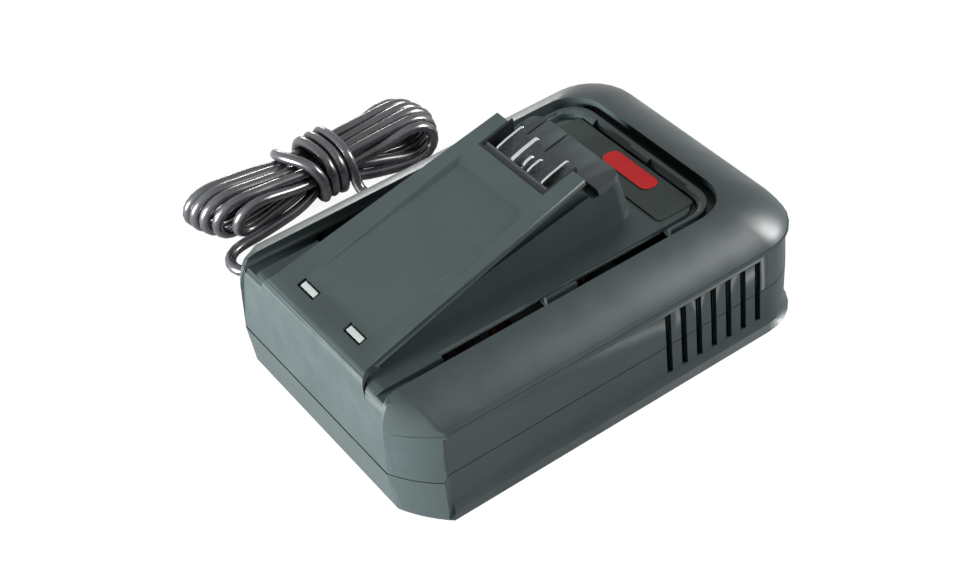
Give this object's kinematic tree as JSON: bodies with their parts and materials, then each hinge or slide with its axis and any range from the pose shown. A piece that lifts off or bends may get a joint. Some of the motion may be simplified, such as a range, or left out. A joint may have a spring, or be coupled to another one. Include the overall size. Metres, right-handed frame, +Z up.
{
  "type": "power tool battery charger",
  "caption": "Mains charger for slide-on power tool batteries: sloping dock with rails and contact blades in a pocket of a two-part case, with a tied mains cord and a two-pin plug.",
  "frame": {"origin": "on the floor under the middle of the case, at the height of the rubber feet's undersides", "axes": "+X to the vented right side, -Y to the end with the lamps, +Y to the high back end of the dock, +Z up"},
  "size_m": [0.2233, 0.1885, 0.082],
  "materials": {
    "case": "fine-textured dark grey moulding",
    "contact_grey": "light grey moulding",
    "black_plastic": "black moulding",
    "blade_steel": "plated contact metal",
    "lamp_white": "milky white light pipe",
    "board_green": "green circuit board",
    "lead_red": "red flat lead",
    "plate_grey": "printed plate",
    "stripe_red": "red print",
    "ferrite": "sintered ferrite",
    "tape_yellow": "yellow tape",
    "copper": "enamelled copper wire",
    "sleeve_blue": "shrink sleeve",
    "ceramic_white": "ceramic tube",
    "component_black": "moulded component",
    "aluminium": "extruded",
    "screw_steel": "zinc plated",
    "pin_brass": "nickel plated",
    "foot_rubber": "moulded rubber",
    "cord_black": "glossy black flexible plastic"
  },
  "bodies": {
    "root": {"lower_housing": "case", "upper_housing": "case", "contact_frame": "black_plastic", "contact_block": "contact_grey", "blade_1": "blade_steel", "blade_2": "blade_steel", "blade_3": "blade_steel", "blade_4": "blade_steel", "blade_5": "blade_steel", "contact_board": "board_green", "contact_lead": "lead_red", "lamp_window_left": "lamp_white", "lamp_window_right": "lamp_white", "lamp_left": "lamp_white", "lamp_right": "lamp_white", "lamp_board": "board_green", "pocket_plate": "plate_grey", "pocket_stripe": "stripe_red", "circuit_board": "board_green", "transformer_core": "ferrite", "transformer_winding": "tape_yellow", "bulk_capacitor": "sleeve_blue", "output_capacitor_1": "sleeve_blue", "output_capacitor_2": "sleeve_blue", "line_choke": "copper", "line_filter": "tape_yellow", "fuse": "ceramic_white", "bridge_rectifier": "component_black", "heat_sink_input": "aluminium", "heat_sink_output": "aluminium", "power_switch": "component_black", "output_diode": "component_black", "control_chip": "component_black", "cord_clamp": "black_plastic", "clamp_screw_1": "screw_steel", "clamp_screw_2": "screw_steel", "cord_tail": "cord_black", "strain_relief": "cord_black", "foot_1": "foot_rubber", "foot_2": "foot_rubber", "foot_3": "foot_rubber", "foot_4": "foot_rubber", "case_screw_1": "screw_steel", "case_screw_2": "screw_steel", "case_screw_3": "screw_steel", "case_screw_4": "screw_steel", "mains_cord": "cord_black", "cord_hank": "cord_black", "plug_cord": "cord_black", "plug_body": "cord_black", "plug_pin_left": "pin_brass", "plug_pin_right": "pin_brass"}
  },
  "joints": []
}
